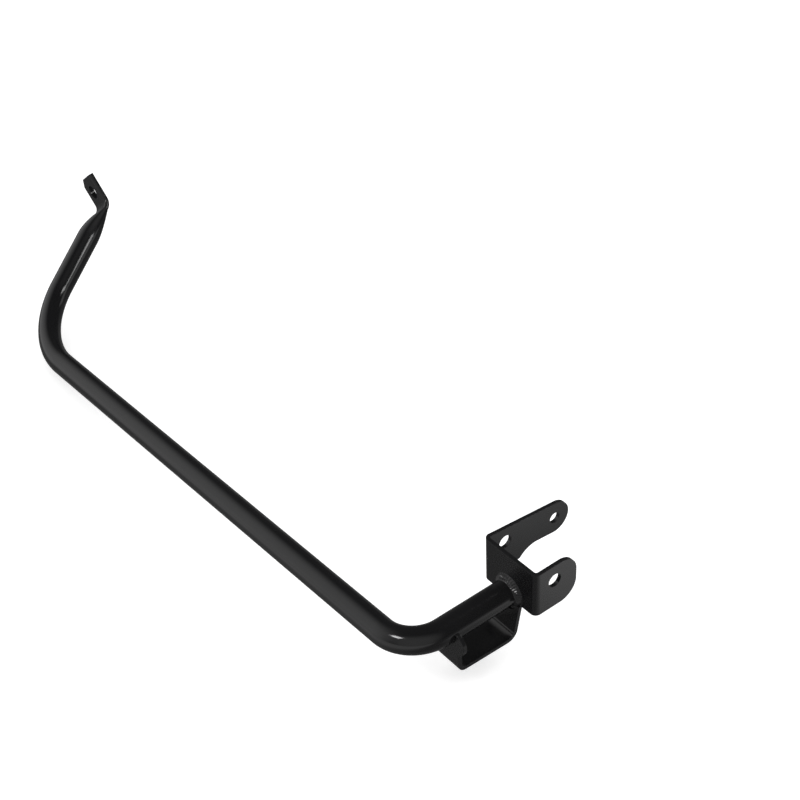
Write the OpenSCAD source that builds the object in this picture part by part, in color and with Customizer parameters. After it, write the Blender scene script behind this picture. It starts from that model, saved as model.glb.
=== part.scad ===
// Pannier frame, left hand: a bent steel tube rail for the side of a motorbike.
// One end of the rail is crushed flat, bent and pierced to bolt to the frame tail.
// The other end seats in the web of a bent U bracket that takes a through bolt.
// A strap bent to a loop hangs under the rail beside the bracket.
// Origin on the through bolt axis, midway between the legs. +Z up.
// +Y along the through bolt and towards the crushed end, +X towards the bike.

/* [Tube] */
// outside diameter of the rail tube, mm
tube_d = 19.05; // [16:0.05:25.4]
// wall of the rail tube, mm
tube_wall = 2; // [1.2:0.1:3]
// depth that the tube end goes into the bracket web, mm
tube_inset = 1.5; // [0.5:0.1:2.5]

/* [Rail path] */
// drop of the tube axis below the through bolt, mm
rail_drop = 17; // [12:0.5:30]
// from the through bolt out to the near corner of the rail, mm
rail_reach = 102; // [80:1:160]
// length of the long run between its two corners, mm
long_run = 521; // [300:1:700]
// fall of the long run below level, degrees
long_fall = 4.2; // [0:0.1:10]
// turn of the long run towards the bike, degrees
long_toe = 0.7; // [-5:0.1:5]
// centre line radius of the near bend, mm
near_bend_r = 27; // [24:1:60]
// centre line radius of the far bend, mm
far_bend_r = 76; // [38:1:120]
// heading of the far run, degrees from +X towards +Y
far_heading = 24.1; // [0:0.1:60]
// climb of the far run above level, degrees
far_climb = 28.2; // [0:0.1:60]
// length of the far run from the corner to the fold of the tab, mm
far_run = 136.4; // [110:0.1:250]

/* [Crushed end] */
// thickness of the crushed end, both walls together, mm
tab_t = 4.4; // [4:0.1:6]
// length over which the round tube turns flat, mm
crush_len = 27; // [20:1:60]
// middle radius of the fold in the flat, mm
fold_r = 9; // [6:0.5:20]
// heading of the tab, degrees from +X towards +Y
tab_heading = 99.5; // [60:0.5:130]
// climb of the tab above level, degrees
tab_climb = 51.4; // [10:0.1:75]
// from the fold to the middle of the tab hole, mm
tab_hole_at = 15.5; // [14:0.5:40]
// metal beyond the middle of the tab hole, mm
tab_end = 14.1; // [9:0.1:25]
// corner radius at the upper corner of the tab end, mm
tab_corner_r = 1.5; // [1:0.5:8]
// chamfer of the lower corner of the tab end, mm
tab_chamfer = 8; // [2:0.5:12]
// tab hole diameter, mm
tab_hole_d = 12; // [6.5:0.1:14]

/* [Bracket] */
// plate thickness of the bracket, mm
plate_t = 3; // [2:0.5:6]
// clear width between the two legs, mm
fork_gap = 45; // [30:0.5:60]
// metal above the through bolt axis, mm
bolt_top = 13; // [9:0.5:20]
// from the tube axis down to the lower edge of the bracket, mm
bracket_foot = 6; // [3:0.5:8]
// from the outer face of the web to the through bolt axis, mm
bolt_reach = 17; // [14:0.5:30]
// inside radius of the two bends, mm
bracket_bend_r = 1.5; // [1:0.5:6]
// through bolt hole diameter, mm
bolt_hole_d = 10.5; // [8.5:0.1:12.5]
// from the through bolt axis to the end of the short leg, mm
short_leg = 19.3; // [12:0.1:40]
// corner radius of the short leg, mm
short_leg_r = 14; // [4:0.5:18]
// from the through bolt axis to the hole in the long leg, mm
arm_reach = 44.7; // [30:0.1:80]
// radius of the end of the long leg, mm
arm_r = 12.7; // [9:0.1:16]
// fall of the long leg below level, degrees
arm_fall = 5.5; // [0:0.5:12]
// hole diameter at the end of the long leg, mm
arm_hole_d = 8.5; // [6.5:0.1:10.5]
// from the through bolt axis to the foot of the step in the long leg, mm
arm_step_at = 13; // [10:0.5:24]
// length of the curve of the step in the long leg, mm
arm_step_len = 16; // [8:0.5:24]
// radial room round the tube in the web, mm
seat_gap = 0.15; // [0.05:0.05:0.4]

/* [Hanger loop] */
// strap thickness, mm
strap_t = 3; // [2:0.5:5]
// strap width, mm
strap_w = 24; // [16:0.5:40]
// reach of the ear beside the tube, from the tube axis, mm
ear_reach = 17.3; // [13:0.1:25]
// from the near bend of the rail to the outer wall of the loop, mm
loop_room = 3.7; // [1:0.1:20]
// depth of the loop under the tube axis at its outer wall, mm
loop_deep = 31.2; // [24:0.2:50]
// extra depth of the loop at its inner wall, mm
loop_slope = 1.8; // [0:0.1:6]
// inner wall of the loop from the through bolt axis, at the bottom corner, mm
loop_in = 21.4; // [19:0.1:40]
// inside radius of the two bends, mm
loop_bend_r = 3.5; // [2:0.5:8]

/* [Welds] */
// leg of the bead between tube and bracket, mm
ring_leg = 3.8; // [2:0.1:6]
// leg of the beads between loop and tube, mm
loop_leg = 3; // [2:0.5:5]

/* [Hidden] */
tube_r = tube_d / 2;
bore_r = tube_r - tube_wall;
$fn = 36;

// rail path
near_p = [-rail_reach, 0, -rail_drop];
long_dir = [
  sin(long_toe) * cos(long_fall), cos(long_toe) * cos(long_fall), -sin(long_fall)
];
far_p = near_p + long_run * long_dir;
far_dir = [
  cos(far_climb) * cos(far_heading), cos(far_climb) * sin(far_heading), sin(far_climb)
];
fold_p = far_p + far_run * far_dir;
tab_dir = [
  cos(tab_climb) * cos(tab_heading), cos(tab_climb) * sin(tab_heading), sin(tab_climb)
];

// bend angles, and the length that each bend takes from its straights
near_turn = acos(unit([-1, 0, 0]) * long_dir);
near_cut = near_bend_r * tan(near_turn / 2);
far_turn = acos(long_dir * far_dir);
far_cut = far_bend_r * tan(far_turn / 2);
fold_turn = acos(far_dir * tab_dir);
fold_cut = fold_r * tan(fold_turn / 2);

// crushed end: the skin keeps its length round, so it widens as it thins
flat_b = tab_t / 2;
flat_a = spread(tube_r, flat_b);
tab_w = 2 * (flat_a + flat_b);
crush_from = far_run - fold_cut - crush_len;
lap = 0.5;
skin = 0.02;
steps = 12;
fold_steps = 8;
ring_n = 32;

// inward direction of each bend, and the roll about the tube between one bend and the next
start_dir = [-1, 0, 0];
near_in = inward(start_dir, long_dir);
far_in = inward(long_dir, far_dir);
fold_in = inward(far_dir, tab_dir);
far_roll = roll(long_dir, after(start_dir, near_in, near_turn), far_in);
fold_roll = roll(far_dir, after(long_dir, far_in, far_turn), fold_in);

// bracket
plate_out = bracket_bend_r + plate_t;
leg_y = fork_gap / 2;
plate_lo = -rail_drop - bracket_foot;
bracket_h = bolt_top - plate_lo;
web_x = -bolt_reach;
leg_from = web_x + plate_out;
arm_out = [-sin(arm_fall), -cos(arm_fall)];
arm_z = arm_top(arm_reach) - arm_r / cos(arm_fall);
arm_end = [arm_reach, arm_z];
step_foot = [arm_step_at, plate_lo];
step_top_x = arm_step_at + arm_step_len;
step_top = [step_top_x, arm_top(step_top_x) - 2 * arm_r / cos(arm_fall)];
step_chord = step_foot - step_top;
step_r = (step_chord * step_chord) / (2 * step_chord * arm_out);
seat_r = tube_r + seat_gap;
tube_end_x = web_x + tube_inset;

// hanger loop, corner points of its outer skin as [x, z]
loop_out = rail_reach - near_cut - loop_room;
loop_a = [-loop_out, -rail_drop + 0.5];
loop_b = [-loop_out, -rail_drop - loop_deep];
loop_c = [-loop_in, -rail_drop - loop_deep - loop_slope];
loop_d = [web_x + 1.2, plate_lo];
ear_z = -rail_drop - 6.8;
ear_r = 9.2;
horn_z = -rail_drop - 0.6;
horn_r = 2.2;
strap_lap = 0.2;

function unit(v) = v / norm(v);

// height of the upper edge of the long leg at x
function arm_top(x) = bolt_top - (x - leg_from) * tan(arm_fall);

// flat half length of a crushed ring with round ends of radius b, made from a tube of radius r
function spread(r, b) = PI * (r - b) / 2;

// share of the crush at share k of its length: slow at first, steep where it meets the fold
function ease(k) = pow(k, 1.6);

// unit vector that points from the heading d towards the heading e, square to d
function inward(d, e) = unit(e - (d * e) * d);

// the same vector, carried through a bend of the given turn
function after(d, w, turn) = cos(turn) * w - sin(turn) * d;

// roll about the heading d that takes the vector x on to the vector w
function roll(d, x, w) = atan2(w * cross(d, x), w * x);

// one crushed ring: flat half length a along y, end radius b along x
function ring(a, b) = [
  for (i = [0 : ring_n - 1])
    let (t = 360 * (i + 0.5) / ring_n)
      [b * cos(t), (sin(t) > 0 ? a : -a) + b * sin(t)]
];

// end radius of the ring at share k of the crush
function crush_b(k) = tube_r + (flat_b - tube_r) * ease(max(k, 0));

// rings of the crush along z, from the round tube to the flat
function crush_rings(lap_len, shrink, least) = [
  for (k = [-lap_len / crush_len, for (i = [0 : steps]) i / steps])
    let (b = crush_b(k))
      [for (v = ring(spread(tube_r, b), max(b - shrink, least))) [v[0], v[1], k * crush_len]]
];

// rings of the fold that follows, and one more that laps into the tab
function fold_rings(shrink) = [
  for (i = [1 : fold_steps + 1])
    let (
      turn = fold_turn * min(i / fold_steps, 1),
      on = i > fold_steps ? 3 * lap : 0,
      x = fold_r * (1 - cos(turn)) + on * sin(turn),
      z = crush_len + fold_r * sin(turn) + on * cos(turn)
    )
      [for (v = ring(flat_a, flat_b - shrink)) [x + v[0] * cos(turn), v[1], z - v[0] * sin(turn)]]
];

// closed skin through a list of rings
module loft(rings) {
  n = len(rings[0]);
  m = len(rings);
  points = [for (r = rings) for (p = r) p];
  sides = [
    for (j = [0 : m - 2])
      for (i = [0 : n - 1])
        let (a = j * n + i, b = j * n + (i + 1) % n, c = b + n, d = a + n)
          for (f = [[a, c, b], [a, d, c]]) f
  ];
  first = [for (i = [0 : n - 1]) i];
  last = [for (i = [n - 1 : -1 : 0]) (m - 1) * n + i];
  polyhedron(points = points, faces = concat(sides, [first], [last]), convexity = 6);
}

// carry the children to point p with their z along zdir and their x near xdir
module place(p, zdir, xdir) {
  z = unit(zdir);
  y = unit(cross(z, xdir));
  x = cross(y, z);
  multmatrix([
    [x[0], y[0], z[0], p[0]],
    [x[1], y[1], z[1], p[1]],
    [x[2], y[2], z[2], p[2]],
    [0, 0, 0, 1]
  ])
    children();
}

// section of the tube, thinned by g on both faces
module tube_section(g) {
  difference() {
    circle(r = tube_r - g);
    circle(r = bore_r + g);
  }
}

// straight tube along z that laps into its neighbours, with the children set on its far end
module tube_run(length, before, beyond) {
  translate([0, 0, -before])
    linear_extrude(height = length + before + beyond)
      tube_section(0);
  translate([0, 0, length])
    children();
}

// carry the children round a turn from z towards x on the given radius
module turned(radius, turn) {
  translate([radius, 0, 0])
    rotate([0, turn, 0])
      translate([-radius, 0, 0])
        children();
}

// tube bend from z towards x, with the children set on its far end
module tube_bend(radius, turn) {
  translate([radius, 0, 0])
    rotate([90, 0, 180])
      rotate_extrude(angle = turn, $fn = 48)
        translate([radius, 0])
          tube_section(skin);
  turned(radius, turn)
    children();
}

// round tube crushed flat along z and folded towards x
module crushed_fold() {
  difference() {
    loft(concat(crush_rings(lap, skin, 0), fold_rings(skin)));
    loft(crush_rings(2 * lap, tube_wall - skin, 0.15));
  }
}

// flat of the tab along z: folded edges, a rounded and a chamfered corner and the bolt hole
module tab() {
  reach = tab_hole_at + tab_end - fold_cut;
  difference() {
    intersection() {
      translate([0, 0, lap])
        linear_extrude(height = reach)
          union() {
            square([tab_t, 2 * flat_a], center = true);
            for (s = [-1, 1])
              translate([0, s * flat_a])
                circle(r = flat_b);
          }
      rotate([0, -90, 0])
        linear_extrude(height = tab_t * 2, center = true)
          union() {
            translate([-1, -tab_w])
              square([reach - tab_corner_r + 1, 2 * tab_w]);
            translate([0, -tab_w])
              square([reach, 1.5 * tab_w - tab_corner_r]);
            translate([reach - tab_corner_r, tab_w / 2 - tab_corner_r])
              circle(r = tab_corner_r);
          }
    }
    translate([0, -tab_w / 2, reach - tab_chamfer])
      rotate([45, 0, 0])
        translate([-tab_t, -tab_w, 0])
          cube([2 * tab_t, 3 * tab_w, tab_w]);
    translate([0, 0, tab_hole_at - fold_cut])
      rotate([0, 90, 0])
        cylinder(r = tab_hole_d / 2, h = tab_t * 3, center = true);
  }
}

// the whole rail in one piece: two bends, a crushed end and a folded tab
module rail_tube() {
  color([0.02, 0.02, 0.02])
    place([tube_end_x, 0, -rail_drop], start_dir, near_in)
      tube_run(tube_end_x + rail_reach - near_cut, 0, lap)
        tube_bend(near_bend_r, near_turn)
          tube_run(long_run - near_cut - far_cut, lap, lap)
            rotate([0, 0, far_roll])
              tube_bend(far_bend_r, far_turn)
                tube_run(crush_from - far_cut, lap, lap)
                  rotate([0, 0, fold_roll]) {
                    crushed_fold();
                    translate([0, 0, crush_len])
                      turned(fold_r, fold_turn)
                        tab();
                  }
}

// one quarter bend of the bracket plate, centre at [x, y]
module plate_bend(x, y, from) {
  translate([x, y, plate_lo])
    rotate([0, 0, from])
      rotate_extrude(angle = 90)
        translate([bracket_bend_r, 0])
          square([plate_t, bracket_h]);
}

// outline of the long leg as seen from the side, x along and z up
module long_leg_outline() {
  difference() {
    union() {
      polygon([
        [leg_from, bolt_top],
        [leg_from, plate_lo],
        step_foot,
        step_top,
        arm_end + arm_r * arm_out,
        arm_end - arm_r * arm_out
      ]);
      translate(arm_end)
        circle(r = arm_r);
    }
    translate(step_top + step_r * arm_out)
      circle(r = step_r, $fn = 96);
    circle(r = bolt_hole_d / 2);
    translate(arm_end)
      circle(r = arm_hole_d / 2);
  }
}

// outline of the short leg
module short_leg_outline() {
  difference() {
    union() {
      translate([leg_from, plate_lo])
        square([short_leg - short_leg_r - leg_from, bracket_h]);
      translate([0, plate_lo + short_leg_r])
        square([short_leg, bracket_h - 2 * short_leg_r]);
      for (z = [plate_lo + short_leg_r, bolt_top - short_leg_r])
        translate([short_leg - short_leg_r, z])
          circle(r = short_leg_r);
    }
    circle(r = bolt_hole_d / 2);
  }
}

// U bracket bent from one plate
module mount_bracket() {
  color([0.03, 0.03, 0.03])
    union() {
      difference() {
        translate([web_x, -leg_y + bracket_bend_r, plate_lo])
          cube([plate_t, fork_gap - 2 * bracket_bend_r, bracket_h]);
        translate([web_x - 1, 0, -rail_drop])
          rotate([0, 90, 0])
            cylinder(r = seat_r, h = plate_t + 2);
      }
      plate_bend(leg_from, leg_y - bracket_bend_r, 90);
      plate_bend(leg_from, -leg_y + bracket_bend_r, 180);
      translate([0, leg_y + plate_t, 0])
        rotate([90, 0, 0])
          linear_extrude(height = plate_t)
            long_leg_outline();
      translate([0, -leg_y, 0])
        rotate([90, 0, 0])
          linear_extrude(height = plate_t)
            short_leg_outline();
    }
}

// the tube's own outside, cut from the strap that it is welded to
module tube_cut(x, length) {
  translate([x, 0, -rail_drop])
    rotate([0, 90, 0])
      cylinder(r = tube_r, h = length);
}

// strap wall between two skin points p and q in the x and z plane, metal on the left of p to q
module strap_wall(p, q, from, to, width) {
  run = unit(q - p);
  translate([p[0] + run[0] * from, width / 2, p[1] + run[1] * from])
    rotate([90, 0, 0])
      rotate([0, 0, atan2(run[1], run[0])])
        cube([norm(q - p) - from - to, strap_t, width]);
}

// strap bend at skin corner q between walls from p and to r
module strap_bend(p, q, r) {
  in_dir = unit(q - p);
  out_dir = unit(r - q);
  turn = acos(in_dir * out_dir);
  cut = (loop_bend_r + strap_t) * tan(turn / 2);
  left = [-in_dir[1], in_dir[0]];
  c = q - in_dir * cut + left * (loop_bend_r + strap_t);
  translate([c[0], strap_w / 2 - skin, c[1]])
    rotate([90, 0, 0])
      rotate([0, 0, atan2(-left[1], -left[0])])
        rotate_extrude(angle = turn)
          translate([loop_bend_r + skin, 0])
            square([strap_t - 2 * skin, strap_w - 2 * skin]);
}

function strap_cut(p, q, r) =
  (loop_bend_r + strap_t) * tan(acos(unit(q - p) * unit(r - q)) / 2);

// outer wall of the loop: one ear beside the tube, cut out to hold the tube
module ear_wall(low) {
  translate([-loop_out, 0, 0])
    rotate([90, 0, 90])
      linear_extrude(height = strap_t)
        difference() {
          union() {
            translate([-strap_w / 2, low])
              square([strap_w, ear_z - low]);
            translate([ear_r - ear_reach, ear_z])
              circle(r = ear_r);
            translate([0, ear_z - 1])
              square([strap_w / 2, horn_z - horn_r - ear_z + 1]);
            translate([0, ear_z - 1])
              square([strap_w / 2 - horn_r, horn_z - ear_z + 1]);
            translate([strap_w / 2 - horn_r, horn_z - horn_r])
              circle(r = horn_r);
          }
          translate([0, -rail_drop])
            circle(r = tube_r);
        }
}

// strap bent to a loop, welded under the tube
module hanger_loop() {
  cut_b = strap_cut(loop_a, loop_b, loop_c);
  cut_c = strap_cut(loop_b, loop_c, loop_d);
  color([0.025, 0.025, 0.025])
    difference() {
      union() {
        ear_wall(loop_b[1] + cut_b - strap_lap);
        strap_bend(loop_a, loop_b, loop_c);
        strap_wall(loop_b, loop_c, cut_b - strap_lap, cut_c - strap_lap, strap_w);
        strap_bend(loop_b, loop_c, loop_d);
        strap_wall(loop_c, loop_d, cut_c - strap_lap, -4, strap_w);
      }
      tube_cut(-loop_out - 1, loop_out);
      translate([web_x - 8, -strap_w, plate_lo])
        cube([16, 2 * strap_w, 20]);
    }
}

// ring of weld metal round the tube with its root at x and its toe towards side s
module bead(x, s, leg) {
  translate([x, 0, -rail_drop])
    rotate([0, s * 90, 0])
      rotate_extrude()
        polygon([
          [tube_r, 0],
          [tube_r + leg, 0],
          [tube_r + leg * 0.42, leg * 0.42],
          [tube_r, leg]
        ]);
}

// bead round the tube on the outer face of the web, stopped at the foot of the plate
module ring_weld() {
  color([0.04, 0.04, 0.04])
    intersection() {
      bead(web_x, -1, ring_leg);
      translate([web_x - 20, -20, plate_lo])
        cube([21, 40, bracket_h]);
    }
}

// bead under the tube on the inside of the outer wall of the loop
module loop_weld_outer() {
  color([0.04, 0.04, 0.04])
    intersection() {
      bead(-loop_out + strap_t, 1, loop_leg);
      translate([-loop_out, -20, -rail_drop - 20])
        cube([20, 40, 20]);
    }
}

// bead under the tube where the inner wall of the loop meets it
module loop_weld_inner() {
  color([0.04, 0.04, 0.04])
    difference() {
      intersection() {
        bead(web_x - 2, -1, loop_leg + 1.5);
        translate([web_x - 20, -strap_w / 2, -rail_drop - 20])
          cube([24, strap_w, 20 + plate_lo + rail_drop]);
      }
      strap_wall(loop_c, loop_d, 0, -10, 2 * strap_w);
    }
}

rail_tube();
mount_bracket();
hanger_loop();
ring_weld();
loop_weld_outer();
loop_weld_inner();
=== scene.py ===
"""Dressed model of a pannier frame: a bent tube rail with a crushed end, a U bracket and a strap loop."""
import logging
import math
from dataclasses import dataclass, field
from enum import Enum
from typing import Callable, Optional, Sequence

import bmesh
import bpy
from mathutils import Matrix, Vector
from mathutils import noise as mnoise


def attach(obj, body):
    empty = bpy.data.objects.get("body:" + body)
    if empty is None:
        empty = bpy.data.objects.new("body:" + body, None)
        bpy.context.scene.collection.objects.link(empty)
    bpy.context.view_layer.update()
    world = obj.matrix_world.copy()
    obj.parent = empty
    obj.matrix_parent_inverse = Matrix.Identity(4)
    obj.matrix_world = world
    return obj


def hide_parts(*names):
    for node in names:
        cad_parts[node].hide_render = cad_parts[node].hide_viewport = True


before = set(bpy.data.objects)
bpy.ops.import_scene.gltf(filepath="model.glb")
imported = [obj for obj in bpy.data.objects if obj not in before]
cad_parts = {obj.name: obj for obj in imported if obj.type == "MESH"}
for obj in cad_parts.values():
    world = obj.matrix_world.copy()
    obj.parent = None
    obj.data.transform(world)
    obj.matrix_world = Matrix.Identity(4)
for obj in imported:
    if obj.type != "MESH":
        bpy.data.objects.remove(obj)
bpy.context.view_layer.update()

LOG = logging.getLogger("pannier_frame")
MM = 0.001
WHITE = (1, 1, 1, 1)

# sizes that more than one piece needs, in mm
TUBE_R = 9.525
RAIL_DROP = 17.0
PLATE_T = 3.0
PLATE_EDGE_R = 0.45

# how far a cutter reaches past what it cuts, in metres
THROUGH = 0.02
# share of a slanting move that goes each way
DIAGONAL = 0.7071

Point2 = tuple[float, float]
Point3 = tuple[float, float, float]
Socket = bpy.types.NodeSocket


# Small tools shared by every piece


def srgb(hex_colour: str) -> tuple[float, float, float, float]:
    """Turns an sRGB hex colour to the linear values that a shader takes.

    Args:
        hex_colour: a colour such as "#101112".

    Returns:
        Linear red, green and blue, and an alpha of 1.
    """
    values = [int(hex_colour[i : i + 2], 16) / 255 for i in (1, 3, 5)]
    lin = [v / 12.92 if v <= 0.04045 else ((v + 0.055) / 1.055) ** 2.4 for v in values]
    return (lin[0], lin[1], lin[2], 1.0)


def add_node(
    tree: bpy.types.NodeTree,
    kind: str,
    inputs: Optional[dict] = None,
    links: Optional[dict] = None,
    **settings: object,
) -> bpy.types.Node:
    """Adds one shader node with its settings, values and links.

    Args:
        tree: the material's or world's node tree.
        kind: Blender's name for the node type.
        inputs: socket name or number to value.
        links: socket name or number to the output socket that feeds it.
        settings: attributes of the node.

    Returns:
        The new node.
    """
    node = tree.nodes.new(kind)
    for key, value in settings.items():
        setattr(node, key, value)
    for key, value in (inputs or {}).items():
        node.inputs[key].default_value = value
    for key, source in (links or {}).items():
        tree.links.new(source, node.inputs[key])
    return node


def ramp(span: Point2, levels: Point2) -> dict[str, float]:
    """Gives a Map Range node the values that carry one span to another.

    Args:
        span: the two values between which it works.
        levels: what they turn into.

    Returns:
        Socket name to value.
    """
    return {"From Min": span[0], "From Max": span[1], "To Min": levels[0], "To Max": levels[1]}


def new_object(name: str, verts: Sequence, faces: Sequence) -> bpy.types.Object:
    """Makes a mesh object from points in metres and faces, and links it to the scene.

    Args:
        name: the object's name.
        verts: points in the row frame.
        faces: lists of point numbers.

    Returns:
        The object.
    """
    mesh = bpy.data.meshes.new(name)
    mesh.from_pydata([tuple(v) for v in verts], [], [tuple(f) for f in faces])
    mesh.validate()
    obj = bpy.data.objects.new(name, mesh)
    bpy.context.scene.collection.objects.link(obj)
    return obj


def face_outwards(obj: bpy.types.Object) -> None:
    """Turns all faces of a closed piece outwards.

    Args:
        obj: the piece.
    """
    bm = bmesh.new()
    bm.from_mesh(obj.data)
    bmesh.ops.recalc_face_normals(bm, faces=bm.faces[:])
    bm.to_mesh(obj.data)
    bm.free()


def bake_modifiers(obj: bpy.types.Object) -> None:
    """Applies the object's modifiers to its mesh.

    Args:
        obj: the object to settle.
    """
    graph = bpy.context.evaluated_depsgraph_get()
    mesh = bpy.data.meshes.new_from_object(obj.evaluated_get(graph), depsgraph=graph)
    old = obj.data
    obj.modifiers.clear()
    obj.data = mesh
    mesh.name = old.name
    bpy.data.meshes.remove(old)


def cut_away(obj: bpy.types.Object, tool: bpy.types.Object) -> None:
    """Takes the tool's solid out of the object's and removes the tool.

    Args:
        obj: the object that is cut.
        tool: a closed mesh.
    """
    mod = obj.modifiers.new("cut", "BOOLEAN")
    mod.operation = "DIFFERENCE"
    mod.solver = "EXACT"
    mod.object = tool
    bpy.context.view_layer.update()
    bake_modifiers(obj)
    mesh = tool.data
    bpy.data.objects.remove(tool)
    bpy.data.meshes.remove(mesh)


def rod(name: str, radius: float, low: float, high: float, at: Matrix, sides: int = 96) -> bpy.types.Object:
    """Makes a round cutter along the z axis of a given place.

    Args:
        name: the cutter's name.
        radius: its radius in metres.
        low: its lower end along z.
        high: its upper end along z.
        at: the place of its axis.
        sides: how many flats stand for the circle.

    Returns:
        The cutter.
    """
    turns = [math.tau * i / sides for i in range(sides)]
    return prism(name, [(radius * math.cos(t), radius * math.sin(t)) for t in turns], low, high, at)


def prism(name: str, outline: Sequence[Point2], low: float, high: float, at: Matrix) -> bpy.types.Object:
    """Makes a closed prism from an outline drawn anticlockwise.

    Args:
        name: the object's name.
        outline: the outline's points in metres.
        low: where the prism starts along z.
        high: where it ends.
        at: the place of the outline's own axes.

    Returns:
        The object.
    """
    n = len(outline)
    verts = [at @ Vector((x, y, z)) for z in (low, high) for x, y in outline]
    faces = [list(range(n - 1, -1, -1)), list(range(n, 2 * n))]
    faces += [[i, (i + 1) % n, n + (i + 1) % n, n + i] for i in range(n)]
    return new_object(name, verts, faces)


def arc(cx: float, cy: float, r: float, a0: float, a1: float, steps: int) -> list[Point2]:
    """Gives points along an arc, both ends included.

    Args:
        cx: centre, first coordinate.
        cy: centre, second coordinate.
        r: radius.
        a0: first angle in degrees.
        a1: last angle in degrees.
        steps: how many pieces the arc is cut into.

    Returns:
        The points.
    """
    turns = [math.radians(a0 + (a1 - a0) * i / steps) for i in range(steps + 1)]
    return [(cx + r * math.cos(t), cy + r * math.sin(t)) for t in turns]


def smooth_edges(obj: bpy.types.Object, angle: float, weigh: bool) -> None:
    """Shades the piece smooth, keeps its hard edges hard and lets flat faces stay flat.

    Args:
        obj: the piece.
        angle: edges sharper than this many degrees stay hard.
        weigh: whether large faces decide the shading beside their small rounded edges.
    """
    obj.data.shade_smooth()
    obj.data.set_sharp_from_angle(angle=math.radians(angle))
    if weigh:
        mod = obj.modifiers.new("weigh", "WEIGHTED_NORMAL")
        mod.keep_sharp = True
        mod.weight = 60


# Finishes

# where the values of a noise texture mostly lie
NOISE_SPAN = (0.3, 0.7)


class Surface(Enum):
    """The finishes that the frame's pieces take."""

    TUBE = "coated_tube"
    PLATE = "coated_plate"
    WELD = "coated_weld"


@dataclass(frozen=True)
class PowderCoat:
    """Black polyester powder coat, sprayed dry and baked, on bare steel.

    It flows to a deep gloss with a faint orange peel, and pulls thin over sharp edges.
    """

    name: str
    colour: str
    edge_colour: str
    roughness: float
    rough_spread: float
    peel_mm: float
    peel_depth_mm: float
    speck_mm: float
    wave_mm: float = 26.0
    thinning: float = 0.35
    coat: float = 0.25
    coat_roughness: float = 0.12

    def build(self) -> bpy.types.Material:
        """Makes the material.

        Returns:
            The finished material.
        """
        mat = bpy.data.materials.new(self.name)
        mat.use_nodes = True
        tree = mat.node_tree
        tree.nodes.clear()
        place = {"Vector": add_node(tree, "ShaderNodeTexCoord").outputs["Object"]}
        # orange peel: soft cells of about peel_mm, drawn a little coarser than real so that they show
        cells = {"Scale": 1 / (self.peel_mm * MM), "Detail": 2.0, "Roughness": 0.45}
        peel = add_node(tree, "ShaderNodeTexNoise", cells, place).outputs["Fac"]
        # long, slow waves where the melted powder gathered
        waves = {"Scale": 1 / (self.wave_mm * MM), "Detail": 1.0}
        wave = {"Value": add_node(tree, "ShaderNodeTexNoise", waves, place).outputs["Fac"]}
        # fine grit of the powder, under the gloss
        grit = {"Scale": 1 / (self.speck_mm * MM), "Detail": 1.0}
        speck = add_node(tree, "ShaderNodeTexNoise", grit, place).outputs["Fac"]
        depth = self.peel_depth_mm * MM
        peel_bump = add_node(tree, "ShaderNodeBump", {"Strength": 0.55, "Distance": depth}, {"Height": peel})
        bump = add_node(
            tree,
            "ShaderNodeBump",
            {"Strength": 0.4, "Distance": depth * 0.5},
            {"Height": speck, "Normal": peel_bump.outputs["Normal"]},
        )
        # the coat is thinnest on the rounded rims, which the mesh marks, and a little so on the waves
        rim = add_node(tree, "ShaderNodeAttribute", attribute_name="edge").outputs["Fac"]
        crest = add_node(tree, "ShaderNodeMapRange", ramp(NOISE_SPAN, (0.0, self.thinning)), wave)
        thin = add_node(
            tree, "ShaderNodeMath", links={0: rim, 1: crest.outputs["Result"]}, operation="MAXIMUM"
        )
        tint = add_node(
            tree,
            "ShaderNodeMix",
            {6: srgb(self.colour), 7: srgb(self.edge_colour)},
            {0: thin.outputs["Value"]},
            data_type="RGBA",
        )
        spread = (self.roughness - self.rough_spread, self.roughness + self.rough_spread)
        gloss = add_node(tree, "ShaderNodeMapRange", ramp(NOISE_SPAN, spread), wave)
        shader = add_node(
            tree,
            "ShaderNodeBsdfPrincipled",
            {
                "IOR": 1.5,
                "Metallic": 0.0,
                "Coat Weight": self.coat,
                "Coat Roughness": self.coat_roughness,
                "Coat IOR": 1.45,
            },
            {
                "Base Color": tint.outputs[2],
                "Roughness": gloss.outputs["Result"],
                "Normal": bump.outputs["Normal"],
            },
        )
        add_node(tree, "ShaderNodeOutputMaterial", links={"Surface": shader.outputs["BSDF"]})
        return mat


COATS = {
    # tube: polished by drawing before it is coated, so the gloss is deep and the peel slight
    Surface.TUBE: PowderCoat(
        name="gloss_black_powder_coat_on_drawn_tube",
        colour="#111112",
        edge_colour="#161617",
        roughness=0.13,
        rough_spread=0.02,
        peel_mm=2.4,
        peel_depth_mm=0.012,
        speck_mm=0.5,
    ),
    # plate: hot rolled and cut, so the coat over it is a shade flatter and its edges are thin
    Surface.PLATE: PowderCoat(
        name="black_powder_coat_on_cut_plate",
        colour="#121213",
        edge_colour="#151516",
        roughness=0.2,
        rough_spread=0.03,
        peel_mm=2.0,
        peel_depth_mm=0.009,
        speck_mm=0.45,
    ),
    # weld: the coat bridges the ripples of the bead and pools in its toes
    Surface.WELD: PowderCoat(
        name="black_powder_coat_over_weld_bead",
        colour="#0e0e0f",
        edge_colour="#161617",
        roughness=0.19,
        rough_spread=0.04,
        peel_mm=1.4,
        peel_depth_mm=0.02,
        speck_mm=0.4,
    ),
}


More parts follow.
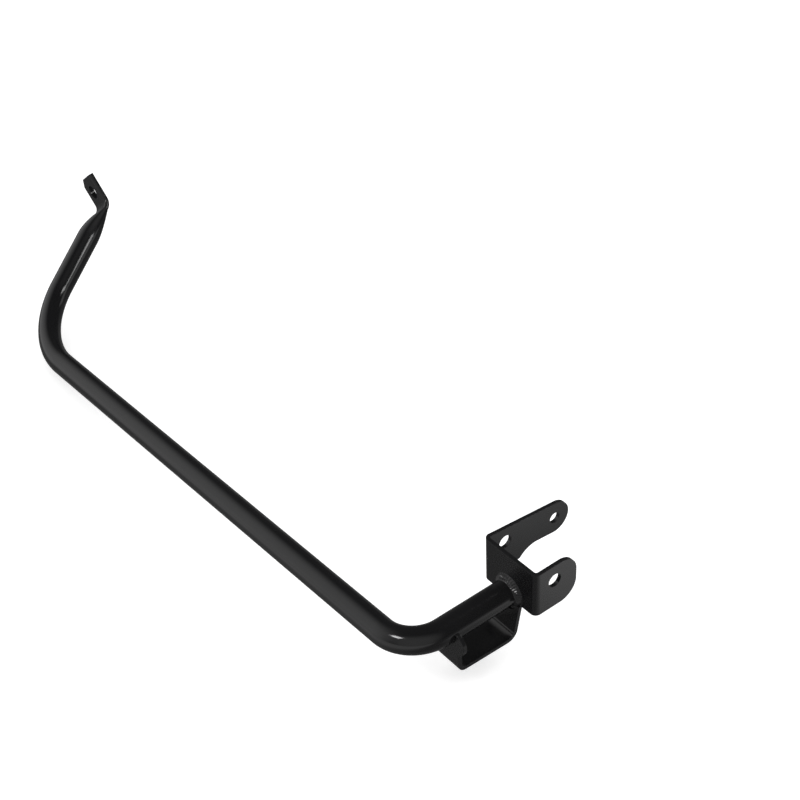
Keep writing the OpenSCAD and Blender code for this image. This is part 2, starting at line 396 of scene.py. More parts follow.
@dataclass
class Finishes:
    """All the finishes of the frame, built once."""

    made: dict[Surface, bpy.types.Material] = field(default_factory=dict)

    def build(self) -> None:
        """Makes each finish."""
        self.made = {surface: coat.build() for surface, coat in COATS.items()}

    def dress(self, obj: bpy.types.Object, surface: Surface) -> None:
        """Puts a finish on a piece.

        Args:
            obj: the piece.
            surface: which finish it takes.
        """
        obj.data.materials.clear()
        obj.data.materials.append(self.made[surface])


# Bent sheet, made flat, rounded on its edges and then folded


@dataclass(frozen=True)
class Fold:
    """One stretch of a folded sheet: a flat and, after it, a left hand bend of an angle and inner radius."""

    flat: float = 0.0
    turn: float = 0.0
    inner_r: float = 0.0


@dataclass
class BentSheet:
    """A sheet that is cut flat and then folded, as the real one is.

    Flat coordinates are s along the strip, v across it and n from the outer skin inwards, all in mm.
    """

    thickness: float
    start: Point2
    heading: Point2
    folds: tuple[Fold, ...]
    edge_r: float = PLATE_EDGE_R
    edge_segments: int = 3
    sharp_angle: float = 40.0
    fold_step: float = 7.5

    def bend_length(self, fold: Fold) -> float:
        """Gives the flat length of a bend, measured half way through the sheet."""
        return math.radians(fold.turn) * (fold.inner_r + self.thickness / 2)

    def length(self) -> float:
        """Gives the whole flat length."""
        return sum(f.flat + self.bend_length(f) for f in self.folds)

    def fold_lines(self) -> list[float]:
        """Lists where the flat sheet needs points so that its bends come out round.

        Returns:
            Places along s, fold_step degrees apart in each bend.
        """
        lines, s = [], 0.0
        for fold in self.folds:
            s += fold.flat
            if fold.turn:
                count = max(2, round(fold.turn / self.fold_step))
                lines += [s + self.bend_length(fold) * i / count for i in range(count + 1)]
                s += self.bend_length(fold)
        return lines

    def place(self, s: float, n: float) -> Point2:
        """Carries a flat point to its place in the folded profile.

        Args:
            s: distance along the strip.
            n: depth from the outer skin.

        Returns:
            The profile's two coordinates.
        """
        px, py = self.start
        hx, hy = self.heading
        for k, fold in enumerate(self.folds):
            last = k == len(self.folds) - 1
            if fold.flat:
                if s <= fold.flat or last:
                    return px + hx * s - hy * n, py + hy * s + hx * n
                s -= fold.flat
                px, py = px + hx * fold.flat, py + hy * fold.flat
            if fold.turn:
                outer = fold.inner_r + self.thickness
                cx, cy = px - hy * outer, py + hx * outer
                whole = self.bend_length(fold)
                t = math.radians(fold.turn) * min(s / whole, 1.0)
                c, d = math.cos(t), math.sin(t)
                gx, gy = hx * c - hy * d, hx * d + hy * c
                if s <= whole:
                    r = outer - n
                    return cx + gy * r, cy - gx * r
                s -= whole
                hx, hy = gx, gy
                px, py = cx + gy * outer, cy - gx * outer
        return px, py

    def build(
        self,
        name: str,
        outline: Sequence[Point2],
        holes: Sequence[Point3],
        to_row: Callable[[float, float, float], Point3],
    ) -> bpy.types.Object:
        """Cuts the flat, drills it, rounds its edges and folds it.

        Args:
            name: the piece's name.
            outline: the cut outline in s and v, anticlockwise.
            holes: each hole's s, v and radius.
            to_row: turns the profile's two coordinates and v to the row frame, in mm.

        Returns:
            The folded piece.
        """
        obj = prism(name, outline, 0.0, self.thickness, Matrix.Identity(4))
        # each drill stands this far past both faces
        past = 5
        for k, (s, v, r) in enumerate(holes):
            at = Matrix.Translation((s, v, 0))
            cut_away(obj, rod(f"{name}_drill_{k}", r, -past, self.thickness + past, at, sides=72))
        mod = obj.modifiers.new("round", "BEVEL")
        mod.width = self.edge_r
        mod.segments = self.edge_segments
        mod.limit_method = "ANGLE"
        mod.angle_limit = math.radians(self.sharp_angle)
        mod.use_clamp_overlap = True
        bake_modifiers(obj)
        mesh = obj.data
        bm = bmesh.new()
        bm.from_mesh(mesh)
        # the rounded rims are marked, so that the coat can be thin there
        layer = bm.verts.layers.float.new("edge")
        rim_from, rim_to = 0.001, self.edge_r * 0.98
        for vert in bm.verts:
            deep = min(vert.co.z, self.thickness - vert.co.z)
            vert[layer] = 1.0 if rim_from < deep < rim_to else 0.0
        for s in self.fold_lines():
            geom = bm.verts[:] + bm.edges[:] + bm.faces[:]
            bmesh.ops.bisect_plane(bm, geom=geom, dist=1e-5, plane_co=(s, 0, 0), plane_no=(1, 0, 0))
        for vert in bm.verts:
            a, b = self.place(vert.co.x, vert.co.z)
            vert.co = Vector(to_row(a, b, vert.co.y)) * MM
        bmesh.ops.recalc_face_normals(bm, faces=bm.faces[:])
        bm.to_mesh(mesh)
        bm.free()
        return obj


# The pieces


@dataclass
class Rail:
    """Bent tube rail, crushed flat, folded and pierced at its far end. Lengths in mm, angles in degrees."""

    tube_r: float = TUBE_R
    wall: float = 2.0
    # the short run from the bracket, then the near bend
    end_x: float = -15.5
    drop: float = RAIL_DROP
    reach: float = 102.0
    near_r: float = 27.0
    # the long run, which falls and turns in a little, then the far bend
    long_run: float = 521.0
    long_fall: float = 4.2
    long_toe: float = 0.7
    far_r: float = 76.0
    # the far run, which climbs to the crushed end
    far_heading: float = 24.1
    far_climb: float = 28.2
    far_run: float = 136.4
    crush_len: float = 27.0
    crush_ease: float = 1.6
    fold_r: float = 9.0
    # the flat tab
    tab_t: float = 4.4
    tab_heading: float = 99.5
    tab_climb: float = 51.4
    hole_at: float = 15.5
    hole_r: float = 6.0
    tab_end: float = 14.1
    corner_r: float = 1.5
    chamfer: float = 8.0
    # the gap left between the crushed walls, and the points round each ring
    slit: float = 0.3
    around: int = 96
    # filled while the rail is laid: rings as place, flat, end radius and rolls so far
    stations: list[tuple[Matrix, float, float, int]] = field(default_factory=list)
    rolls: list[float] = field(default_factory=list)
    here: Matrix = field(default_factory=lambda: Matrix.Identity(4))
    tab_place: Matrix = field(default_factory=lambda: Matrix.Identity(4))
    tab_reach: float = 0.0
    tab_hole: float = 0.0

    def _unit(self, heading: float, climb: float) -> Vector:
        """Gives a unit vector from a heading and a climb in degrees."""
        h, c = math.radians(heading), math.radians(climb)
        return Vector((math.cos(c) * math.cos(h), math.cos(c) * math.sin(h), math.sin(c)))

    def _station(self, at: Matrix, squash: float) -> None:
        """Adds one ring of the tube.

        Args:
            at: the ring's place, z along the tube.
            squash: 0 round, 1 flat.
        """
        b = self.tube_r + (self.tab_t / 2 - self.tube_r) * squash
        # the tube's outline keeps its length as it flattens, which gives the half length of its flats
        self.stations.append((at.copy(), math.pi * (self.tube_r - b) / 2, b, len(self.rolls)))

    def _run(self, length: float, pieces: int, squash: Callable[[float], float] = lambda k: 0.0) -> None:
        """Goes straight on.

        Args:
            length: how far.
            pieces: how many rings to add.
            squash: how flat the tube is at each share of the way.
        """
        for i in range(1, pieces + 1):
            k = i / pieces
            self._station(self.here @ Matrix.Translation((0, 0, length * k)), squash(k))
        self.here = self.here @ Matrix.Translation((0, 0, length))

    def _bend(self, radius: float, turn: float, pieces: int, flat: float = 0.0) -> None:
        """Goes round a bend from z towards x.

        Args:
            radius: centre line radius.
            turn: angle in degrees.
            pieces: how many rings to add.
            flat: how flat the tube is.
        """
        out, back = Matrix.Translation((radius, 0, 0)), Matrix.Translation((-radius, 0, 0))
        whole = math.radians(turn)
        for i in range(1, pieces + 1):
            self._station(self.here @ out @ Matrix.Rotation(whole * i / pieces, 4, "Y") @ back, flat)
        self.here = self.here @ out @ Matrix.Rotation(whole, 4, "Y") @ back

    def _roll(self, towards: Vector) -> None:
        """Rolls about the tube so that x points as near as it can to a direction.

        Args:
            towards: the direction of the next bend.
        """
        local = self.here.to_3x3().inverted() @ towards
        self.rolls.append(math.atan2(local.y, local.x))
        self.here = self.here @ Matrix.Rotation(self.rolls[-1], 4, "Z")

    def lay(self) -> None:
        """Lays the rail's rings from the bracket to the end of the tab."""
        start = Vector((-1, 0, 0))
        toe, fall = math.radians(self.long_toe), math.radians(self.long_fall)
        long_dir = Vector((math.sin(toe) * math.cos(fall), math.cos(toe) * math.cos(fall), -math.sin(fall)))
        far_dir = self._unit(self.far_heading, self.far_climb)
        tab_dir = self._unit(self.tab_heading, self.tab_climb)
        near_turn = math.degrees(start.angle(long_dir))
        far_turn = math.degrees(long_dir.angle(far_dir))
        fold_turn = math.degrees(far_dir.angle(tab_dir))
        near_cut = self.near_r * math.tan(math.radians(near_turn) / 2)
        far_cut = self.far_r * math.tan(math.radians(far_turn) / 2)
        fold_cut = self.fold_r * math.tan(math.radians(fold_turn) / 2)
        x = (long_dir - long_dir.dot(start) * start).normalized()
        y = start.cross(x)
        self.here = Matrix(
            (
                (x.x, y.x, start.x, self.end_x),
                (x.y, y.y, start.y, 0),
                (x.z, y.z, start.z, -self.drop),
                (0, 0, 0, 1),
            )
        )
        self._station(self.here, 0)
        self._run(self.end_x + self.reach - near_cut, pieces=6)
        self._bend(self.near_r, near_turn, pieces=36)
        self._run(self.long_run - near_cut - far_cut, pieces=30)
        self._roll(far_dir)
        self._bend(self.far_r, far_turn, pieces=44)
        self._run(self.far_run - fold_cut - self.crush_len - far_cut, pieces=5)
        self._roll(tab_dir)
        self._run(self.crush_len, 30, lambda k: k**self.crush_ease)
        self._bend(self.fold_r, fold_turn, pieces=16, flat=1.0)
        self.tab_place = self.here.copy()
        self.tab_reach = self.hole_at + self.tab_end - fold_cut
        self.tab_hole = self.hole_at - fold_cut
        self._run(self.tab_reach, 12, lambda k: 1.0)

    def _ring(self, a: float, b: float) -> list[Point2]:
        """Gives a ring with flats of half length a and round ends of radius b, points spread evenly.

        Args:
            a: half length of each flat, along y.
            b: radius of each end.

        Returns:
            The ring's points.
        """
        whole = 4 * a + math.tau * b
        points = []
        for i in range(self.around):
            d = (i / self.around * whole + a) % whole
            if d < 2 * a:
                points.append((b, -a + d))
                continue
            d -= 2 * a
            if d < math.pi * b:
                points.append((b * math.cos(d / b), a + b * math.sin(d / b)))
                continue
            d -= math.pi * b
            if d < 2 * a:
                points.append((-b, a - d))
                continue
            t = math.pi + (d - 2 * a) / b
            points.append((b * math.cos(t), -a + b * math.sin(t)))
        return points

    def build(self) -> bpy.types.Object:
        """Skins the rings inside and out, pierces the tab and rounds its corners.

        Returns:
            The rail.
        """
        self.lay()
        verts, n, m = [], self.around, len(self.stations)
        for skin in (0, 1):
            for at, a, b, rolled in self.stations:
                r = b if skin == 0 else max(b - self.wall, self.slit / 2)
                spun = at @ Matrix.Rotation(sum(self.rolls[rolled:]), 4, "Z")
                verts += [spun @ Vector((x, y, 0)) * MM for x, y in self._ring(a, r)]
        faces = []
        for skin in (0, 1):
            for j in range(m - 1):
                ring = skin * n * m + j * n
                for i in range(n):
                    k = (i + 1) % n
                    quad = [ring + i, ring + k, ring + n + k, ring + n + i]
                    faces.append(quad if skin == 0 else quad[::-1])
        inside, end = n * m, (m - 1) * n
        for i in range(n):
            k = (i + 1) % n
            faces.append([k, i, inside + i, inside + k])
            faces.append([end + i, end + k, inside + end + k, inside + end + i])
        obj = new_object("rail", verts, faces)
        at = self.tab_place.copy()
        at.translation = at.translation * MM
        self._pierce(obj, at)
        smooth_edges(obj, angle=32, weigh=False)
        return obj

    def _pierce(self, obj: bpy.types.Object, at: Matrix) -> None:
        """Drills the tab's hole and rounds its two corners.

        Args:
            obj: the rail.
            at: the place where the flat of the tab starts, in metres.
        """
        across = at @ Matrix.Translation((0, 0, self.tab_hole * MM)) @ Matrix.Rotation(math.pi / 2, 4, "Y")
        cut_away(obj, rod("tab_drill", self.hole_r * MM, -THROUGH, THROUGH, across, sides=72))
        half = math.pi * (self.tube_r - self.tab_t / 2) / 2 + self.tab_t / 2
        r, end, c = self.corner_r, self.tab_reach, self.chamfer
        flat = at @ Matrix(((0, 0, 1, 0), (0, 1, 0, 0), (1, 0, 0, 0), (0, 0, 0, 1)))
        # the cutters for the chamfered and the rounded corner stand this far past the tab
        wide, slim = 9, 3
        below = [(end - c - wide, -half - wide), (end + wide, -half - wide), (end + wide, -half + c + wide)]
        above = [(end + slim, half + slim), (end - r, half + slim)]
        above += arc(end - r, half - r, r, 90, 0, 8) + [(end + slim, half - r)]
        for outline in (below, above):
            tool = prism("tab_corner", [(x * MM, y * MM) for x, y in outline], -THROUGH, THROUGH, flat)
            face_outwards(tool)
            cut_away(obj, tool)


@dataclass
class Bracket:
    """U bracket, laser cut from plate and folded twice. Lengths in mm, angles in degrees."""

    thickness: float = PLATE_T
    bend_r: float = 1.5
    # the web and the bore through both legs
    gap: float = 45.0
    height: float = 36.0
    top: float = 13.0
    web_reach: float = 17.0
    bolt_r: float = 5.25
    # the short leg, a half round tongue
    short_leg: float = 19.3
    short_r: float = 14.0
    # the long leg, which falls to its tip and steps down to the web
    arm_reach: float = 44.7
    arm_r: float = 12.7
    arm_fall: float = 5.5
    arm_hole_r: float = 4.25
    step_at: float = 13.0
    step_len: float = 16.0
    # the seat of the tube, with 0.15 mm of room for the weld
    seat_r: float = TUBE_R + 0.15
    drop: float = RAIL_DROP

    def _outline(self, tip: float, whole: float, arm_z: float) -> list[Point2]:
        """Draws the flat bracket, from the top of the long leg round to the top of the short one.

        Args:
            tip: x of the long leg's tip, which is s of the bolt's axis too.
            whole: the whole flat length.
            arm_z: height of the hole in the long leg's tip.

        Returns:
            The outline in s and v.
        """
        low = self.top - self.height
        fall = math.radians(self.arm_fall)
        # the arc of the step starts as a tangent of the long leg's lower edge and ends on the web's
        top_x = self.step_at + self.step_len
        top_z = self.arm_top(top_x) - self.arm_depth()
        dx, dz = self.step_at - top_x, low - top_z
        step_r = (dx * dx + dz * dz) / (2 * (-dx * math.sin(fall) - dz * math.cos(fall)))
        cx, cz = top_x - step_r * math.sin(fall), top_z - step_r * math.cos(fall)
        foot = math.degrees(math.atan2(low - cz, cx - self.step_at))
        level = 90 + self.arm_fall
        outline = [(tip - self.leg_from(), self.top)]
        outline += arc(tip - self.arm_reach, arm_z, self.arm_r, level, level + 180, 40)
        outline += arc(tip - cx, cz, step_r, level, foot, 18)
        outline += arc(whole - self.short_r, low + self.short_r, self.short_r, -90, 0, 24)
        outline += arc(whole - self.short_r, self.top - self.short_r, self.short_r, 0, 90, 24)
        return outline

    def leg_from(self) -> float:
        """Gives x at which the legs leave their bends."""
        return self.bend_r + self.thickness - self.web_reach

    def arm_depth(self) -> float:
        """Gives the upright depth of the long leg."""
        return 2 * self.arm_r / math.cos(math.radians(self.arm_fall))

    def arm_top(self, x: float) -> float:
        """Gives the height of the long leg's upper edge at x."""
        return self.top - (x - self.leg_from()) * math.tan(math.radians(self.arm_fall))

    def build(self) -> bpy.types.Object:
        """Cuts, drills and folds the bracket.

        Returns:
            The bracket.
        """
        out = self.bend_r + self.thickness
        tip = self.arm_reach + self.arm_r
        long_flat = tip + self.web_reach - out
        web_flat = self.gap + 2 * self.thickness - 2 * out
        short_flat = self.short_leg + self.web_reach - out
        sheet = BentSheet(
            self.thickness,
            (tip, self.gap / 2 + self.thickness),
            (-1, 0),
            (Fold(long_flat, 90, self.bend_r), Fold(web_flat, 90, self.bend_r), Fold(short_flat)),
        )
        whole = sheet.length()
        arm_z = self.arm_top(self.arm_reach) - self.arm_depth() / 2
        web_mid = long_flat + sheet.bend_length(sheet.folds[0]) + web_flat / 2
        holes = [
            (tip, 0.0, self.bolt_r),
            (tip - self.arm_reach, arm_z, self.arm_hole_r),
            (whole - self.short_leg, 0.0, self.bolt_r),
            (web_mid, -self.drop, self.seat_r),
        ]
        outline = self._outline(tip, whole, arm_z)
        obj = sheet.build("bracket", outline, holes, lambda a, b, v: (a, b, v))
        smooth_edges(obj, angle=50, weigh=True)
        return obj


@dataclass
class Loop:
    """Hanger loop, a strap folded under the tube, with an ear on its outboard side. Lengths in mm."""

    thickness: float = PLATE_T
    width: float = 24.0
    # the ear, which stands up beside the tube, and the small horn behind it
    ear_reach: float = 17.3
    ear_r: float = 9.2
    ear_z: float = -23.8
    horn_z: float = -17.6
    horn_r: float = 2.2
    # the strap's outer skin in x and z, from the ear down, along the bottom and up to the web
    outer_x: float = -70.97
    bottom_z: float = -48.2
    corner: Point2 = (-21.4, -50.0)
    top: Point2 = (-15.8, -23.0)
    bend_r: float = 3.5
    foot_bend_r: float = 6.0
    # the strap is cut this much too long and trimmed under the web
    spare: float = 3.0
    tube_r: float = TUBE_R
    tube_room: float = 0.02
    drop: float = RAIL_DROP

    def outboard_face(self, z: float) -> float:
        """Gives x of the inner face of the upright, outboard wall, the same at every height."""
        return self.outer_x + self.thickness

    def inboard_face(self, z: float) -> float:
        """Gives x of the inner face of the sloping, inboard wall at a height."""
        slope = (self.top[0] - self.corner[0]) / (self.top[1] - self.corner[1])
        return self.top[0] + (z - self.top[1]) * slope - self.thickness * math.sqrt(1 + slope**2)

    def _strap(self, start_z: float) -> BentSheet:
        """Works out the strap's flats and bends.

        Args:
            start_z: height at which the strap starts, the top of its ear.

        Returns:
            The strap.
        """
        a1 = math.degrees(math.atan2(self.corner[1] - self.bottom_z, self.corner[0] - self.outer_x))
        a2 = math.degrees(math.atan2(self.top[1] - self.corner[1], self.top[0] - self.corner[0]))
        turn1, turn2 = 90 + a1, a2 - a1
        cut1 = (self.bend_r + self.thickness) * math.tan(math.radians(turn1) / 2)
        cut2 = (self.foot_bend_r + self.thickness) * math.tan(math.radians(turn2) / 2)
        flat1 = start_z - self.bottom_z - cut1
        flat2 = math.hypot(self.corner[0] - self.outer_x, self.corner[1] - self.bottom_z) - cut1 - cut2
        flat3 = math.hypot(self.top[0] - self.corner[0], self.top[1] - self.corner[1]) - cut2 + self.spare
        folds = (Fold(flat1, turn1, self.bend_r), Fold(flat2, turn2, self.foot_bend_r), Fold(flat3))
        return BentSheet(self.thickness, (self.outer_x, start_z), (0, -1), folds)

    def _outline(self, whole: float, start_z: float) -> list[Point2]:
        """Draws the flat strap: its long edges, the ear, the saddle under the tube and the horn.

        Args:
            whole: the strap's flat length.
            start_z: height at which the strap starts.

        Returns:
            The outline in s and v.
        """
        half, ear_v = self.width / 2, self.ear_reach - self.ear_r
        saddle_s, r = start_z + self.drop, self.tube_r + self.tube_room
        # where the ear's circle meets the saddle's
        dx, dy = saddle_s - self.ear_r, -ear_v
        d = math.hypot(dx, dy)
        along = (self.ear_r**2 - r**2 + d * d) / (2 * d)
        up = math.sqrt(self.ear_r**2 - along**2)
        ux, uy = dx / d, dy / d
        meets = [(self.ear_r + along * ux - k * up * uy, ear_v + along * uy + k * up * ux) for k in (-1, 1)]
        meet = min(meets, key=lambda p: p[0])
        a_meet = math.degrees(math.atan2(meet[1] - ear_v, meet[0] - self.ear_r))
        a_side = math.degrees(math.asin((half - ear_v) / self.ear_r))
        s_meet = math.degrees(math.atan2(meet[1], meet[0] - saddle_s))
        horn_s = start_z - self.horn_z
        s_horn = -math.degrees(math.acos((horn_s - saddle_s) / r))
        ear = arc(self.ear_r, ear_v, self.ear_r, a_side, a_meet, 36)
        saddle = arc(saddle_s, 0, r, s_meet, s_horn, 60)[1:]
        horn = arc(horn_s + self.horn_r, self.horn_r - half, self.horn_r, 180, 270, 10)
        return [(whole, -half), (whole, half)] + ear + saddle + horn

    def build(self) -> bpy.types.Object:
        """Cuts and folds the strap, and fits its inner wall to the tube and the web.

        Returns:
            The loop.
        """
        start_z = self.ear_z + self.ear_r
        strap = self._strap(start_z)
        outline = self._outline(strap.length(), start_z)
        obj = strap.build("loop", outline, [], lambda a, b, v: (a, -v, b))
        along_x = Matrix(((0, 0, 1, 0), (0, 1, 0, 0), (-1, 0, 0, -self.drop * MM), (0, 0, 0, 1)))
        # both cutters end about half way between the walls, so that they trim the inboard one alone
        far, wide, high = 40 * MM, 20 * MM, 10 * MM
        tube = rod("tube_room", (self.tube_r + self.tube_room) * MM, -far, 0.0, along_x, sides=128)
        cut_away(obj, tube)
        box = [(-far, -wide), (0, -wide), (0, wide), (-far, wide)]
        cut_away(obj, prism("web_room", box, self.top[1] * MM, high, Matrix.Identity(4)))
        smooth_edges(obj, angle=50, weigh=True)
        return obj


@dataclass
class Bead:
    """A weld bead round part of the tube, with the ripples that the torch leaves.

    Lengths in mm and angles in degrees, from +Y towards +Z. root_x gives x of the face that the bead
    stands on at a height, and side is the way along x that it grows. Its rings are ring_step apart.
    """

    name: str
    root_x: Callable[[float], float]
    side: int
    leg: float
    first: float
    last: float
    seed: float
    pitch: float = 1.9
    ripple: float = 0.6
    crest: float = 0.6
    crest_ease: float = 0.8
    swell: float = 0.6
    hollow: float = 0.1
    lag: float = 0.42
    waver: float = 0.25
    waver_len: float = 3.0
    size_waver: float = 0.05
    size_waver_len: float = 4.5
    ring_step: float = 0.16
    least_rings: int = 60
    fade: float = 2.2
    end_size: float = 0.45
    across: int = 12
    root_sink: float = 0.05
    tube_r: float = TUBE_R
    drop: float = RAIL_DROP

    def _size(self, k: float, span: float) -> float:
        """Gives the bead's leg at a share of its way, thinner at its two ends.

        Args:
            k: share of the way.
            span: the bead's length.

        Returns:
            The leg.
        """
        ends = min(1.0, min(k, 1 - k) * span / self.fade)
        round_off = math.sqrt(max(0.0, 1 - (1 - ends) ** 2))
        size = self.leg * (self.end_size + (1 - self.end_size) * round_off)
        waver = mnoise.noise(Vector((span * k / self.size_waver_len, self.seed, 0)))
        return size * (1 + self.size_waver * waver)

    def _lift(self, run: float, w: float) -> float:
        """Gives how far the bead's skin stands out from its flat chord, out and along alike.

        Args:
            run: distance along the bead.
            w: share of the way across it.

        Returns:
            The lift.
        """
        bulge = math.sin(math.pi * w)
        drift = self.waver * mnoise.noise(Vector((run / self.waver_len, self.seed, w)))
        along = run / self.pitch + self.lag * bulge + drift
        # each ripple climbs slowly to its crest and drops off quickly
        saw = along - math.floor(along)
        rise = (saw / self.crest) ** self.crest_ease if saw < self.crest else (1 - saw) / (1 - self.crest)
        scallop = self.ripple * rise * bulge**self.swell
        return (scallop - (self.ripple / 2 + self.hollow * self.leg) * bulge) * DIAGONAL

    def build(self) -> bpy.types.Object:
        """Lays the bead.

        Returns:
            The bead.
        """
        span = math.radians(self.last - self.first) * (self.tube_r + self.leg / 2)
        steps = max(self.least_rings, int(span / self.ring_step))
        verts, faces, row = [], [], self.across + 2
        for i in range(steps + 1):
            k = i / steps
            t = math.radians(self.first + (self.last - self.first) * k)
            size = self._size(k, span)
            for j in range(self.across + 1):
                w = j / self.across
                lift = self._lift(span * k, w) if 0 < j < self.across else 0.0
                r = self.tube_r + max(size * (1 - w) + lift, 0.0)
                verts.append(self._point(t, min(r, self.tube_r + self.leg), min(size * w + lift, self.leg)))
            verts.append(self._point(t, self.tube_r - self.root_sink, 0.0))
        for i in range(steps):
            for j in range(row):
                a, b = i * row + j, i * row + (j + 1) % row
                faces.append([a, b, b + row, a + row])
        faces.append(list(range(row)))
        faces.append([steps * row + j for j in range(row - 1, -1, -1)])
        obj = new_object(self.name, verts, faces)
        face_outwards(obj)
        smooth_edges(obj, angle=60, weigh=False)
        return obj

    def _point(self, t: float, r: float, x: float) -> Vector:
        """Gives a point of the bead in metres.

        Args:
            t: angle round the tube in radians, from +Y towards +Z.
            r: distance from the tube's axis.
            x: distance from the bead's root along the tube.

        Returns:
            The point in the row frame.
        """
        y, z = r * math.cos(t), -self.drop + r * math.sin(t)
        return Vector((self.root_x(z) + self.side * x, y, z)) * MM


# The studio


@dataclass(frozen=True)
class Lamp:
    """A soft rectangular lamp. Lengths in metres, power in watts."""

    name: str
    at: Point3
    aim: Point3
    size: Point2
    power: float

    def hang(self) -> None:
        """Hangs the lamp so that it faces its aim."""
        data = bpy.data.lights.new(self.name, "AREA")
        data.shape = "RECTANGLE"
        data.size, data.size_y = self.size
        data.energy = self.power
        lamp = bpy.data.objects.new(self.name, data)
        bpy.context.scene.collection.objects.link(lamp)
        way = Vector(self.aim) - Vector(self.at)
        lamp.matrix_world = Matrix.Translation(self.at) @ way.to_track_quat("-Z", "Y").to_matrix().to_4x4()


@dataclass(frozen=True)
class Glow:
    """A glow seen in reflections, either a painted pool of light on the floor or a panel of the room: its
    level and how it fades over a span.
    """

    at: Point3
    span: Point2
    levels: Point2


@dataclass(frozen=True)
class Studio:
    """Pale floor, soft lamps and the camera. Lengths in metres."""

    floor_z: float = -0.0655
    floor_half: float = 6.0
    floor_colour: str = "#e6e6e6"
    floor_glow: float = 0.5
    world_fill: float = 0.85
    eye: Point3 = (-0.517642, -0.560899, 0.732048)
    right: Point3 = (0.779908, -0.624489, -0.041912)
    ahead: Point3 = (0.471971, 0.63077, -0.615932)
    lens: float = 71.98
    # spans are distances for the floor's painted pool of light, x for its painted glow on the left side and
    # cosines for the room's panels
    painted_pool: Glow = Glow((0.08, -0.12, 0.0), (0.02, 0.18), (0.78, 0.13))
    painted_left_glow: Glow = Glow((0.0, 0.0, 0.0), (-0.24, -0.115), (0.5, 0.0))
    panel: Glow = Glow((-0.565, 0.807, 0.174), (0.42, 0.966), (0.05, 0.75))
    faint_panel: Glow = Glow((-0.6, -0.66, 0.454), (0.5, 0.97), (0.0, 0.35))
    lamps: tuple[Lamp, ...] = (
        # draws the streak on the far run
        Lamp("right_strip", (0.42, -0.12, 0.46), (0.0, 0.54, 0), (0.16, 0.3), 0.75),
        # lights the right flank of the long run from low down
        Lamp("right_panel", (0.75, -0.1, 0.12), (0.0, 0.5, 0), (0.6, 0.34), 0.4),
        # draws the bright patch on the near bend
        Lamp("left_spot", (-0.7, 0.08, 0.8), (-0.1, 0.01, 0), (0.28, 0.18), 2.0),
    )

    def camera(self) -> None:
        """Sets the camera at the photograph's viewing angle."""
        data = bpy.data.cameras.new("camera")
        data.sensor_width = 36.0
        data.lens = self.lens
        data.clip_start, data.clip_end = 0.01, 50
        cam = bpy.data.objects.new("camera", data)
        bpy.context.scene.collection.objects.link(cam)
        ahead, right = Vector(self.ahead).normalized(), Vector(self.right).normalized()
        up = right.cross(ahead).normalized()
        cam.matrix_world = Matrix(
            (
                (right.x, up.x, -ahead.x, self.eye[0]),
                (right.y, up.y, -ahead.y, self.eye[1]),
                (right.z, up.z, -ahead.z, self.eye[2]),
                (0, 0, 0, 1),
            )
        )
        bpy.context.scene.camera = cam

    def floor(self) -> None:
        """Lays the pale floor, which keeps the object's shadow."""
        s, z = self.floor_half, self.floor_z
        corners = [(-s, -s, z), (s, -s, z), (s, s, z), (-s, s, z)]
        floor = new_object("floor", corners, [(0, 1, 2, 3)])
        mat = bpy.data.materials.new("matte_white_paper_sweep")
        mat.use_nodes = True
        tree = mat.node_tree
        tree.nodes.clear()
        # what the camera sees and what lights the object: white paper, which glows a little to the camera
        paper = add_node(tree, "ShaderNodeBsdfDiffuse", {"Color": srgb(self.floor_colour)})
        glow = add_node(tree, "ShaderNodeEmission", {"Color": WHITE, "Strength": self.floor_glow})
        both = add_node(tree, "ShaderNodeAddShader", links={0: paper.outputs[0], 1: glow.outputs[0]})
        # painted light: in reflections the sweep glows, with no lamp on it, in a painted pool beside the
        # bracket and again out on the left
        place = add_node(tree, "ShaderNodeTexCoord").outputs["Object"]
        apart = add_node(tree, "ShaderNodeVectorMath", {1: self.painted_pool.at}, {0: place}, operation="DISTANCE")
        split = add_node(tree, "ShaderNodeSeparateXYZ", links={0: place})
        lit = self._sum(tree, (apart.outputs["Value"], self.painted_pool), (split.outputs["X"], self.painted_left_glow))
        # painted light on the floor, which only reflections see
        painted_floor_light = add_node(tree, "ShaderNodeEmission", {"Color": WHITE}, {"Strength": lit})
        path = add_node(tree, "ShaderNodeLightPath").outputs
        seen = {0: path["Is Camera Ray"], 1: paper.outputs[0], 2: both.outputs[0]}
        plain = add_node(tree, "ShaderNodeMixShader", links=seen)
        gloss = {0: path["Is Glossy Ray"], 1: plain.outputs[0], 2: painted_floor_light.outputs[0]}
        mix = add_node(tree, "ShaderNodeMixShader", links=gloss)
        add_node(tree, "ShaderNodeOutputMaterial", links={"Surface": mix.outputs[0]})
        floor.data.materials.append(mat)

    def _sum(self, tree: bpy.types.NodeTree, *parts: tuple[Socket, Glow]) -> Socket:
        """Adds two glows, each eased over its span.

        Args:
            tree: the node tree.
            parts: for each glow the socket that says how near it is, and the glow.

        Returns:
            The summed level.
        """
        eased = [
            add_node(
                tree,
                "ShaderNodeMapRange",
                ramp(glow.span, glow.levels),
                {"Value": near},
                interpolation_type="SMOOTHSTEP",
            ).outputs["Result"]
            for near, glow in parts
        ]
        both = add_node(tree, "ShaderNodeMath", links=dict(enumerate(eased)), operation="ADD")
        return both.outputs["Value"]

    def world(self) -> None:
        """Fills the room softly and shows it white to the camera."""
        world = bpy.data.worlds.new("studio")
        bpy.context.scene.world = world
        world.use_nodes = True
        tree = world.node_tree
        tree.nodes.clear()
        fill = add_node(tree, "ShaderNodeBackground", {"Color": WHITE, "Strength": self.world_fill})
        white = add_node(tree, "ShaderNodeBackground", {"Color": WHITE, "Strength": 1.0})
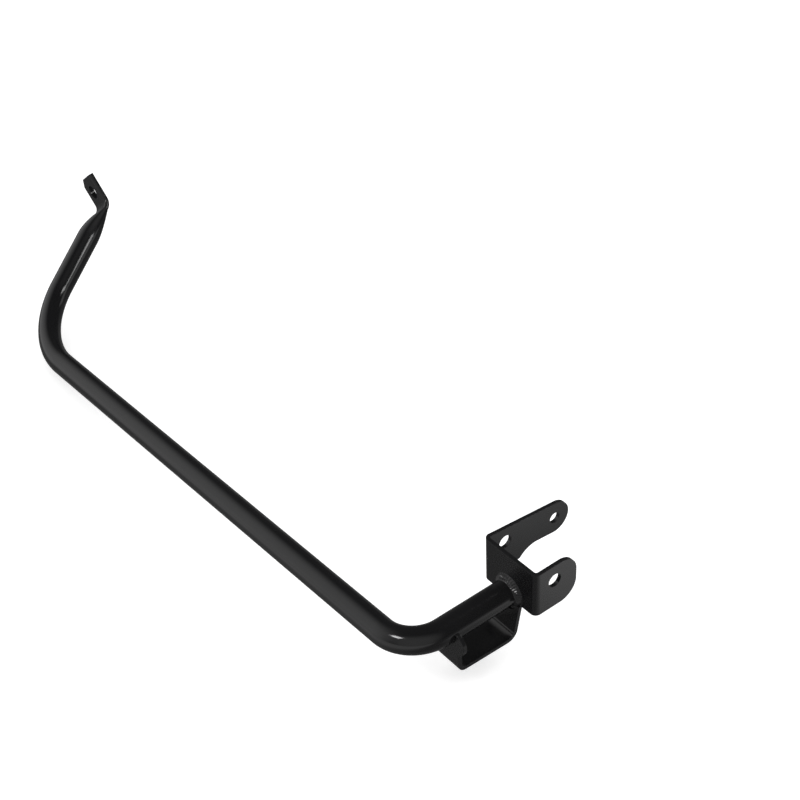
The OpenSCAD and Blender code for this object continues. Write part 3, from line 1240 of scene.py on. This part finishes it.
        # what the gloss mirrors: a dim room, a broad, soft panel behind on the left, a faint one in front
        way = add_node(tree, "ShaderNodeTexCoord").outputs["Generated"]
        panels = []
        for glow in (self.panel, self.faint_panel):
            near = add_node(tree, "ShaderNodeVectorMath", {1: glow.at}, {0: way}, operation="DOT_PRODUCT")
            panels.append((near.outputs["Value"], glow))
        lit = self._sum(tree, *panels)
        room = add_node(tree, "ShaderNodeBackground", {"Color": WHITE}, {"Strength": lit})
        path = add_node(tree, "ShaderNodeLightPath").outputs
        gloss = {0: path["Is Glossy Ray"], 1: fill.outputs[0], 2: room.outputs[0]}
        light = add_node(tree, "ShaderNodeMixShader", links=gloss)
        seen = {0: path["Is Camera Ray"], 1: light.outputs[0], 2: white.outputs[0]}
        mix = add_node(tree, "ShaderNodeMixShader", links=seen)
        add_node(tree, "ShaderNodeOutputWorld", links={"Surface": mix.outputs[0]})

    def build(self) -> None:
        """Sets up the whole studio."""
        self.camera()
        self.floor()
        self.world()
        for lamp in self.lamps:
            lamp.hang()
        bpy.context.scene.view_settings.view_transform = "Standard"


def report(obj: bpy.types.Object) -> None:
    """Logs a finished piece and its size.

    Args:
        obj: the piece.
    """
    size = " x ".join(f"{d * 1000:.0f}" for d in obj.dimensions)
    LOG.info("%s: %d faces, %s mm", obj.name, len(obj.data.polygons), size)


def main() -> None:
    """Builds and dresses the pannier frame, sets it in the studio and reports each piece."""
    logging.basicConfig(level=logging.INFO, format="%(message)s")
    finishes = Finishes()
    finishes.build()
    rail, bracket, loop = Rail(), Bracket(), Loop()
    small = {"leg": 3.0, "pitch": 1.5, "ripple": 0.2}
    ring = Bead("ring_bead", lambda z: -bracket.web_reach, -1, leg=3.8, first=-38, last=218, seed=1.3)
    outer = Bead("loop_outer_bead", loop.outboard_face, 1, first=182, last=358, seed=5.1, **small)
    # the inner bead starts a little inside the strap, so that no gap shows along its slope
    sunk = 0.05
    inner = Bead(
        "loop_inner_bead", lambda z: loop.inboard_face(z) + sunk, -1, first=221, last=319, seed=8.7, **small
    )
    work = (
        (rail, "rail_tube", Surface.TUBE),
        (bracket, "mount_bracket", Surface.PLATE),
        (loop, "hanger_loop", Surface.PLATE),
        (ring, "ring_weld", Surface.WELD),
        (outer, "loop_weld_outer", Surface.WELD),
        (inner, "loop_weld_inner", Surface.WELD),
    )
    for piece, node, surface in work:
        obj = piece.build()
        finishes.dress(obj, surface)
        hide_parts(node)
        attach(obj, "root")
        report(obj)
    Studio().build()


if __name__ == "__main__":
    main()
